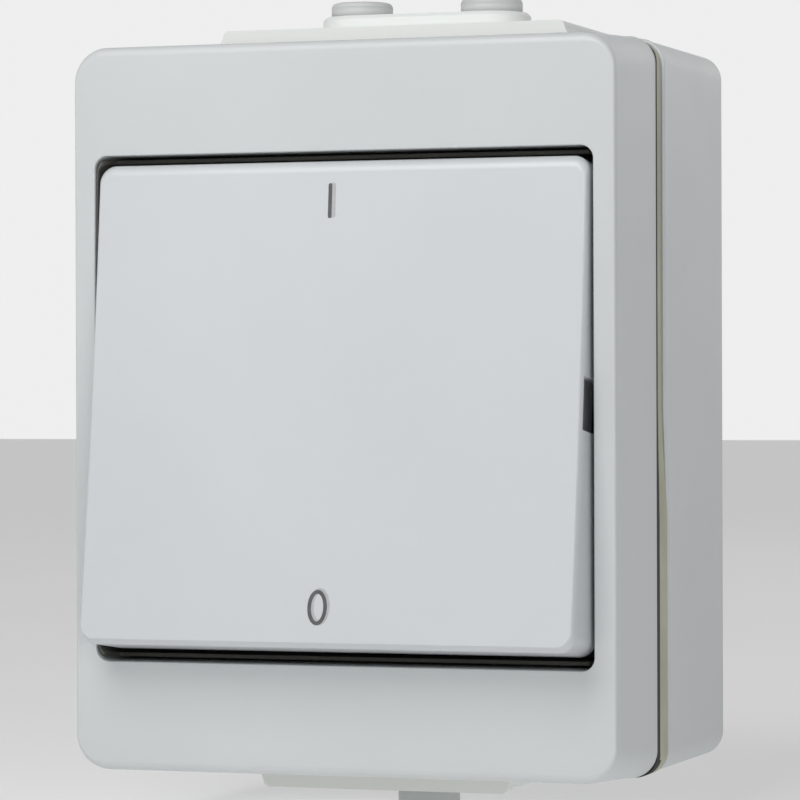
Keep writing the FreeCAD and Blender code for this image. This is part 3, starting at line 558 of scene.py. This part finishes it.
# Stroke along a closed or open line of points (x, z): its cross-section is a low rounded bank,
# half a stroke to each side, from below the face to a little above it
def strokeSkin(name, lineX, lineZ, sideX, sideZ, closed, m, c):
    half = m["stroke"] / 2
    across = np.array((-1, -1, -0.86, -0.5, 0.5, 0.86, 1, 1)) * half
    above = np.array((-m["sunk"], 0.5 * m["proud"], 0.9 * m["proud"], m["proud"], m["proud"],
                      0.9 * m["proud"], 0.5 * m["proud"], -m["sunk"]))
    x = lineX[:, None] + sideX[:, None] * across
    z = lineZ[:, None] + sideZ[:, None] * across
    d = c["faceD"] - dishDrop(z, c) + above
    return skin(name, swung((x, d, z), c), closed=closed, poles=(not closed, not closed))


# I: a straight line whose sides draw in round its two ends by sqrt(1 - t squared)
def markI(name, m, c):
    half = m["stroke"] / 2
    t = np.concatenate((np.linspace(-1, 0, 8)[1:], np.linspace(0, 1, 8)[:-1]))
    z = m["onZ"] + np.concatenate((-m["onHalfL"] + half + half * t[:7],
                                   m["onHalfL"] - half + half * t[7:]))
    return strokeSkin(name, m["onX"] + 0 * z, z, np.sqrt(1 - t ** 2), 0 * z, False, m, c)


# 0: an upright oval x = w cos(f), z = h sin(f); its sides point along the outward normal
def markO(name, m, c):
    f = np.linspace(0, 2 * np.pi, 64, endpoint=False)
    x, z = m["offHalfW"] * np.cos(f), m["offHalfH"] * np.sin(f)
    nx, nz = m["offHalfH"] * np.cos(f), m["offHalfW"] * np.sin(f)
    size = np.hypot(nx, nz)
    return strokeSkin(name, m["offX"] + x, m["offZ"] + z, nx / size, nz / size, True, m, c)


# Each mark, then a stroke of painted shadow beside it
for tail, strokes, wear in (("", marks, "mark"), ("PaintedShadow", paintedShade, "markPaintedShadow")):
    mount(markI("markOn" + tail, strokes, cap), "rocker_unit", "rocker_plastic", finish[wear])
    mount(markO("markOff" + tail, strokes, cap), "rocker_unit", "rocker_plastic", finish[wear])
print("marks made")


# Gasket band in the seam, which steps back towards the wall in its lower part

band = {
    "halfW": 32.7,
    "halfH": 41.75,
    "corner": 2.7,
    "width": 2.1,
    "backD": 26.4,
    "frontD": 28.4,
    "backDrop": 1.5,
    "frontDrop": -0.4,
    "spread": 0.28,
    "stepL": 13.0,
    "round": 0.3,
    "grooveDeep": 0.16,
    "grooveW": 0.65,
    "grooveEdge": 0.08,
}


# Way round the box whose points are crowded where the seam drops back, from height 0 to -stepL
def seamWay(straight, stepL):
    even = np.concatenate((np.linspace(-straight, -stepL, 17), np.linspace(-stepL, 0, 9)[1:],
                           np.linspace(0, straight, 24)[1:-1])) / straight
    return roundWay(even, crowded(24), 12)


# How far a point at height z is down the seam's step, from 0 to 1
def seamFall(z, stepL):
    return np.clip(-z / stepL, 0, 1)


# Section: a rectangle with a rounded front edge and a groove towards the base; both faces shift
# evenly over the step, below which the band stands nearly flush with the base
def gasketSkin(g):
    way = seamWay(g["halfH"] - g["corner"], g["stepL"])
    f = np.linspace(0, np.pi / 2, 7)
    r, groove, w, e = g["round"], g["grooveDeep"], g["grooveW"], g["grooveEdge"]
    inset = np.concatenate(((groove, groove, groove, 0.0, 0.0), r * (1 - np.cos(f)),
                            (g["width"], g["width"])))
    level = np.concatenate(((0.0, 0.0, 0.0, 0.0, 0.0), 0 * f + 1, (1.0, 0.0)))
    shift = np.concatenate(((0.0, 0.05, w - e, w, w + e), r * (np.sin(f) - 1), (0.0, 0.0)))
    profile = np.stack((g["halfW"] - inset, g["halfH"] - inset, g["corner"] - inset, 0 * inset), axis=1)
    x, d, z = ringGrid(way, profile)
    fall = seamFall(z, g["stepL"])
    back = g["backD"] - g["backDrop"] * fall
    front = g["frontD"] - g["frontDrop"] * fall
    d = back + (front - back) * level[:, None] + shift[:, None]
    wide = 1 + g["spread"] * fall / g["halfW"]
    return skin("gasketBand", (x * wide, d, z * wide), closed=True)


mount(gasketSkin(band), "housing", "gasket_rubber", finish["gasket_rubber"], "housing_gasket")
print("gasket made")


# Painted shade in the seam: a near-black ring between the band and the cover's rim, standing for the
# deep shadow of the joint

shadeRing = {
    "outer": (32.65, 41.7, 2.5),
    "inner": (31.6, 40.65, 1.6),
    "backD": 27.9,
    "frontD": 30.19,
    "spread": 0.29,
    "hairline": 0.06,
}


def shadeRingSkin(c, g):
    profile = np.array(((*c["outer"], c["backD"]), (*c["outer"], c["frontD"]),
                        (*c["inner"], c["frontD"]), (*c["inner"], c["backD"])))
    profile = crisp(profile, c["hairline"], closed=True)
    x, d, z = ringGrid(seamWay(g["halfH"] - g["corner"], g["stepL"]), profile)
    wide = 1 + c["spread"] * seamFall(z, g["stepL"]) / g["halfW"]
    return skin("seamShadeRing", (x * wide, d, z * wide), closed=True)


# The ring is coloured near-black as painted shade
mount(shadeRingSkin(shadeRing, band), "housing", "gasket_rubber", finish["paintedShade"])
print("seam core made")


# Base: a smooth skin just proud of the box's sides, with a small rounded bead along its rim

shell = {
    "halfW": 33.0,
    "halfH": 42.05,
    "corner": 3.0,
    "rimD": 26.5,
    "rimDrop": 1.5,
    "stepL": 13.0,
    "swell": 0.1,
    "bead": 0.34,
    "backRows": ((0.55, 1.0), (0.57, 0.0), (0.53, 0.04), (0.02, 0.55), (-0.02, 0.6), (-0.02, 0.7)),
    "sideRows": ((-0.02, -1.4), (-0.05, -0.8)),
    "rimRows": ((0.28, 0.07), (0.29, -0.3), (0.4, -0.4), (0.55, -0.6)),
}


# Rows of the section give an inset from the outline and a depth, counted from the wall at the back
# and from the rim further on. Between the side and the rim runs the bead, a quarter circle large
# enough to take in the box's own sharp edge.
def baseSkin(g):
    way = seamWay(g["halfH"] - g["corner"], g["stepL"])
    f = np.linspace(0, np.pi / 2, 10)
    r, swell = g["bead"], g["swell"]
    bead = np.stack((r - swell - r * np.cos(f), swell - r + r * np.sin(f)), axis=1)
    rows = np.concatenate((g["backRows"], g["sideRows"], bead, g["rimRows"]))
    atRim = (np.arange(len(rows)) >= len(g["backRows"]))[:, None]
    inset, depth = rows.T
    profile = np.stack((g["halfW"] - inset, g["halfH"] - inset, g["corner"] - inset, depth), axis=1)
    x, d, z = ringGrid(way, profile)
    d = d + (g["rimD"] - g["rimDrop"] * seamFall(z, g["stepL"])) * atRim
    return skin("baseSides", (x, d, z), closed=True)


mount(baseSkin(shell), "housing", "housing_plastic", finish["housing_plastic"])
print("base sides made")


# Cable nipples: a rounded plug outside, a neck through the roof and a flange under it

nipple = {
    "axisD": 13.5,
    "headR": 3.7,
    "edge": 0.6,
    "neckR": 2.95,
    "flangeR": 3.9,
    "flangeT": 1.2,
    "roofT": 2.0,
    "boreR": 2.3,
    "skinT": 0.8,
    "hairline": 0.1,
    "ringR": 1.6,
    "poleR": 0.3,
}


# Profile of radius and height turned about the nipple's own upright axis
def nippleSkin(name, x0, roofZ, headH, side, p):
    f = np.linspace(0, np.pi / 2, 8)
    e = p["edge"]
    top = roofZ + headH
    low = roofZ - p["roofT"] - p["flangeT"]
    seat = roofZ - p["roofT"]
    flange = p["flangeR"] - p["hairline"]
    r = np.concatenate(((p["flangeR"], flange, p["neckR"], p["neckR"], p["headR"], p["headR"]),
                        p["headR"] - e * (1 - np.cos(f)),
                        (p["headR"] - e - p["hairline"], p["ringR"], p["poleR"])))
    h = np.concatenate(((low, seat, seat, roofZ, roofZ, top - e), top - e + e * np.sin(f),
                        (top, top, top)))
    inside = np.array(((p["poleR"], top - p["skinT"]), (p["boreR"], top - p["skinT"]),
                       (p["boreR"], low)))
    r = np.concatenate((inside[:, 0], r))
    h = np.concatenate((inside[:, 1], h))
    turn = np.linspace(0, 2 * np.pi, 64, endpoint=False)
    x = x0 + r[:, None] * np.cos(turn)
    d = p["axisD"] + r[:, None] * np.sin(turn)
    z = side * (h[:, None] + 0 * turn)
    return skin(name, (x, d, z), poles=(True, True))


for name, node, x0, roofZ, headH, side in (
        ("nippleLeft", "top_grommet_left", -8.2, 46.85, 1.75, 1),
        ("nippleRight", "top_grommet_right", 8.2, 46.85, 1.75, 1),
        ("nippleBelow", "bottom_grommet", 0.0, 45.0, 3.6, -1)):
    mount(nippleSkin(name, x0, roofZ, headH, side, nipple), "housing", "grommet_rubber",
          finish["grommet_rubber"], node)
print("nipples made")


# Floor and light

light = {
    "floorZ": -0.04875,
    "floorHalf": 3.0,
    "ambient": 0.12,
    "glow": 0.4,
    "pale": 0.86,
}
# Place in metres, side length in metres, and the light that reaches the origin as a share of white
lamps = {
    "keyLamp": ((-0.05, -0.33, 0.27), 0.22, 0.46),
    "fillLamp": ((0.65, -0.75, 0.08), 0.6, 0.27),
    "leftLamp": ((-0.75, -0.4, 0.1), 0.25, 0.05),
    "rearLamp": ((0.3, 0.7, 0.3), 0.4, 0.06),
}


def makeFloor(s):
    h, z = s["floorHalf"], s["floorZ"]
    points = np.array(((-h, -h, z), (h, -h, z), (h, h, z), (-h, h, z)))
    mesh = bpy.data.meshes.new("floor")
    mesh.from_pydata(points.tolist(), [], [(0, 1, 2, 3)])
    floor = bpy.data.objects.new("floor", mesh)
    bpy.context.scene.collection.objects.link(floor)
    pale = grained("paleFloor", paint(200, 200, 200), paint(196, 196, 196),
                   (0.8, 0.9), {"cloud": 3.0, "satin": 20.0, "pores": 400.0}, (0.05, 0.0002))
    shader = pale.node_tree.nodes["Principled BSDF"]
    shader.inputs["Emission Color"].default_value = (1.0, 1.0, 1.0, 1.0)
    shader.inputs["Emission Strength"].default_value = s["glow"]
    floor.data.materials.append(pale)


# Soft even sky for the light, and the pale background for what the camera or a gloss sees
def makeWorld(s):
    world = bpy.data.worlds.new("studio")
    world.use_nodes = True
    bpy.context.scene.world = world
    tree = world.node_tree
    sky = tree.nodes["Background"]
    sky.inputs["Color"].default_value = (1.0, 1.0, 1.0, 1.0)
    rays = tree.nodes.new("ShaderNodeLightPath")
    sums = []
    for pair in (("Is Camera Ray", "Is Glossy Ray"), (None, "Is Transmission Ray")):
        node = tree.nodes.new("ShaderNodeMath")
        node.operation = "MAXIMUM"
        tree.links.new(rays.outputs[pair[0]] if pair[0] else sums[-1], node.inputs[0])
        tree.links.new(rays.outputs[pair[1]], node.inputs[1])
        sums.append(node.outputs[0])
    strength = tree.nodes.new("ShaderNodeMapRange")
    strength.inputs["To Min"].default_value = s["ambient"]
    strength.inputs["To Max"].default_value = s["pale"]
    tree.links.new(sums[-1], strength.inputs["Value"])
    tree.links.new(strength.outputs["Result"], sky.inputs["Strength"])


# Square lamp facing the origin: pi squared times distance squared times the share gives its power
def makeLamp(name, place, size, share):
    lamp = bpy.data.lights.new(name, "AREA")
    lamp.shape = "SQUARE"
    lamp.size = size
    distance = Vector(place).length
    lamp.energy = math.pi ** 2 * distance ** 2 * share
    made = bpy.data.objects.new(name, lamp)
    turn = Vector(place).to_track_quat("Z", "Y").to_matrix().to_4x4()
    made.matrix_world = Matrix.Translation(place) @ turn
    made.visible_camera = False
    bpy.context.scene.collection.objects.link(made)


makeFloor(light)
makeWorld(light)
for name, (place, size, share) in lamps.items():
    makeLamp(name, place, size, share)
bpy.context.scene.view_settings.view_transform = "Standard"
print("floor and lamps ready")
